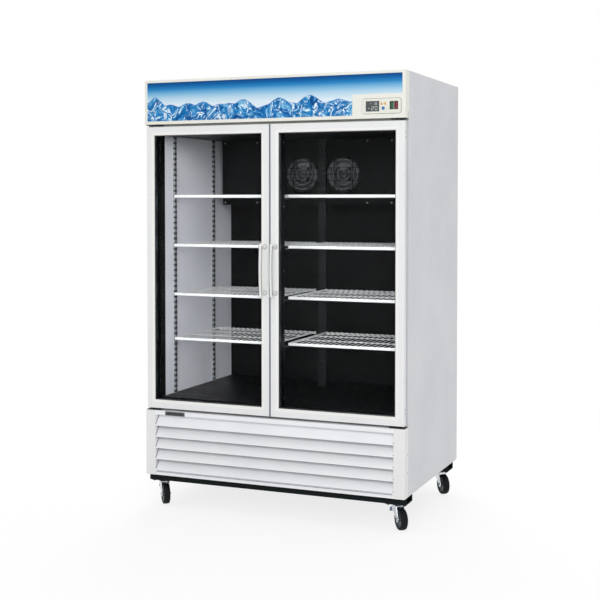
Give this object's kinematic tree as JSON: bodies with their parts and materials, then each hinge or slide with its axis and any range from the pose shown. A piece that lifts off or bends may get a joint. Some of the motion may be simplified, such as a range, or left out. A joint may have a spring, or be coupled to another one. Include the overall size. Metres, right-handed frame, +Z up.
{
  "type": "glass door freezer merchandiser",
  "caption": "Upright freezer merchandiser with glass doors, a sign header with a control module, a louvred lower grille and swivel casters.",
  "frame": {"origin": "middle of the overall footprint, on the floor under the wheels", "axes": "+Z up, -Y the door side, +X to the right as seen from the front"},
  "size_m": [1.2815, 0.911, 1.99],
  "materials": {
    "cabinet_paint": "white gloss paint",
    "header_paint": "warm white gloss paint",
    "galvanised": "zinc plated",
    "foam": "rigid insulating foam",
    "liner": "white coated",
    "breaker_plastic": "black",
    "sign_face": "translucent blue panel",
    "lamp_white": "white tube lamp",
    "module_black": "black moulding",
    "base_paint": "dark paint",
    "black_paint": "black paint",
    "fin_metal": "plain fins",
    "standard_metal": "plated",
    "shelf_coat": "white coating",
    "door_white": "white",
    "door_glass": "clear",
    "gasket_grey": "soft magnetic gasket",
    "handle_white": "white",
    "fan_metal": "plain",
    "brake_paint": "blue-grey paint",
    "button_orange": "orange",
    "button_blue": "blue",
    "rocker_green": "green",
    "rocker_red": "red",
    "fork_plate": "bright plated steel",
    "wheel_rubber": "hard dark tread"
  },
  "bodies": {
    "cabinet": {"side_panel_left": "cabinet_paint", "side_panel_right": "cabinet_paint", "back_panel": "galvanised", "foam_core": "foam", "inner_liner": "liner", "top_cover": "cabinet_paint", "breaker_frame": "breaker_plastic", "center_mullion": "breaker_plastic", "header_housing": "header_paint", "sign_panel": "sign_face", "sign_lamp": "lamp_white", "control_panel": "header_paint", "control_bezel": "module_black", "corner_posts": "cabinet_paint", "louver_grille": "cabinet_paint", "base_frame": "base_paint", "compressor": "black_paint", "condenser_coil": "fin_metal", "condenser_shroud": "black_paint", "evaporator_cover": "liner", "evaporator_coil": "fin_metal", "evaporator_motors": "galvanised", "shelf_standards": "standard_metal", "shelf_clips": "standard_metal", "shelf_left_1": "shelf_coat", "shelf_left_2": "shelf_coat", "shelf_left_3": "shelf_coat", "shelf_left_4": "shelf_coat", "shelf_right_1": "shelf_coat", "shelf_right_2": "shelf_coat", "shelf_right_3": "shelf_coat", "shelf_right_4": "shelf_coat", "hinge_brackets": "galvanised", "caster_plates": "galvanised"},
    "left_door": {"door_frame_left": "door_white", "door_glass_left": "door_glass", "door_gasket_left": "gasket_grey", "door_handle_left": "handle_white"},
    "right_door": {"door_frame_right": "door_white", "door_glass_right": "door_glass", "door_gasket_right": "gasket_grey", "door_handle_right": "handle_white"},
    "button_up_body": {"button_up": "button_orange"},
    "button_down_body": {"button_down": "button_orange"},
    "button_set_body": {"button_set": "button_blue"},
    "rocker_light_body": {"rocker_light": "rocker_green"},
    "rocker_power_body": {"rocker_power": "rocker_red"},
    "left_evaporator_rotor": {"evaporator_fan_left": "fan_metal"},
    "right_evaporator_rotor": {"evaporator_fan_right": "fan_metal"},
    "condenser_rotor": {"condenser_fan": "fan_metal"},
    "front_left_swivel": {"caster_fork_front_left": "fork_plate"},
    "front_left_wheel": {"caster_wheel_front_left": "wheel_rubber"},
    "front_right_swivel": {"caster_fork_front_right": "fork_plate"},
    "front_right_wheel": {"caster_wheel_front_right": "wheel_rubber"},
    "rear_left_swivel": {"caster_fork_rear_left": "fork_plate"},
    "rear_left_wheel": {"caster_wheel_rear_left": "wheel_rubber"},
    "rear_right_swivel": {"caster_fork_rear_right": "fork_plate"},
    "rear_right_wheel": {"caster_wheel_rear_right": "wheel_rubber"},
    "left_brake": {"brake_lever_left": "brake_paint"},
    "right_brake": {"brake_lever_right": "brake_paint"}
  },
  "joints": [
    {"name": "left_door_hinge", "type": "hinge", "parent": "cabinet", "child": "left_door", "pos_m": [-0.614, -0.3885, 1.1175], "axis": [0, 0, 1], "range_deg": [-120, 0]},
    {"name": "right_door_hinge", "type": "hinge", "parent": "cabinet", "child": "right_door", "pos_m": [0.614, -0.3885, 1.1175], "axis": [0, 0, 1], "range_deg": [0, 120]},
    {"name": "button_up_press", "type": "slide", "parent": "cabinet", "child": "button_up_body", "axis": [0, 1, 0], "range_m": [0, 0.0012], "stiffness_N_per_m": 800, "springref_m": -0.001},
    {"name": "button_down_press", "type": "slide", "parent": "cabinet", "child": "button_down_body", "axis": [0, 1, 0], "range_m": [0, 0.0012], "stiffness_N_per_m": 800, "springref_m": -0.001},
    {"name": "button_set_press", "type": "slide", "parent": "cabinet", "child": "button_set_body", "axis": [0, 1, 0], "range_m": [0, 0.0012], "stiffness_N_per_m": 800, "springref_m": -0.001},
    {"name": "rocker_light_rock", "type": "hinge", "parent": "cabinet", "child": "rocker_light_body", "pos_m": [0.574, -0.4085, 1.84], "axis": [1, 0, 0], "range_deg": [-18, 0]},
    {"name": "rocker_power_rock", "type": "hinge", "parent": "cabinet", "child": "rocker_power_body", "pos_m": [0.5935, -0.4085, 1.84], "axis": [1, 0, 0], "range_deg": [-18, 0]},
    {"name": "left_evaporator_fan_spin", "type": "hinge", "parent": "cabinet", "child": "left_evaporator_rotor", "pos_m": [-0.11, 0.264, 1.563], "axis": [0, 1, 0], "continuous": true},
    {"name": "right_evaporator_fan_spin", "type": "hinge", "parent": "cabinet", "child": "right_evaporator_rotor", "pos_m": [0.11, 0.264, 1.563], "axis": [0, 1, 0], "continuous": true},
    {"name": "condenser_fan_spin", "type": "hinge", "parent": "cabinet", "child": "condenser_rotor", "pos_m": [0.28, -0.2335, 0.273], "axis": [0, 1, 0], "continuous": true},
    {"name": "front_left_swivel_turn", "type": "hinge", "parent": "cabinet", "child": "front_left_swivel", "pos_m": [-0.582, -0.3315, 0.1], "axis": [0, 0, 1], "continuous": true},
    {"name": "front_left_wheel_spin", "type": "hinge", "parent": "front_left_swivel", "child": "front_left_wheel", "pos_m": [-0.5595, -0.35831, 0.0475], "axis": [0.766, 0.6428, 0], "continuous": true},
    {"name": "front_right_swivel_turn", "type": "hinge", "parent": "cabinet", "child": "front_right_swivel", "pos_m": [0.582, -0.3315, 0.1], "axis": [0, 0, 1], "continuous": true},
    {"name": "front_right_wheel_spin", "type": "hinge", "parent": "front_right_swivel", "child": "front_right_wheel", "pos_m": [0.6045, -0.35831, 0.0475], "axis": [0.766, 0.6428, 0], "continuous": true},
    {"name": "rear_left_swivel_turn", "type": "hinge", "parent": "cabinet", "child": "rear_left_swivel", "pos_m": [-0.582, 0.3475, 0.1], "axis": [0, 0, 1], "continuous": true},
    {"name": "rear_left_wheel_spin", "type": "hinge", "parent": "rear_left_swivel", "child": "rear_left_wheel", "pos_m": [-0.5595, 0.32069, 0.0475], "axis": [0.766, 0.6428, 0], "continuous": true},
    {"name": "rear_right_swivel_turn", "type": "hinge", "parent": "cabinet", "child": "rear_right_swivel", "pos_m": [0.582, 0.3475, 0.1], "axis": [0, 0, 1], "continuous": true},
    {"name": "rear_right_wheel_spin", "type": "hinge", "parent": "rear_right_swivel", "child": "rear_right_wheel", "pos_m": [0.6045, 0.32069, 0.0475], "axis": [0.766, 0.6428, 0], "continuous": true},
    {"name": "left_brake_press", "type": "hinge", "parent": "front_left_swivel", "child": "left_brake", "pos_m": [-0.59036, -0.32154, 0.084], "axis": [0.766, 0.6428, 0], "range_deg": [-20, 0]},
    {"name": "right_brake_press", "type": "hinge", "parent": "front_right_swivel", "child": "right_brake", "pos_m": [0.57364, -0.32154, 0.084], "axis": [0.766, 0.6428, 0], "range_deg": [-20, 0]}
  ]
}
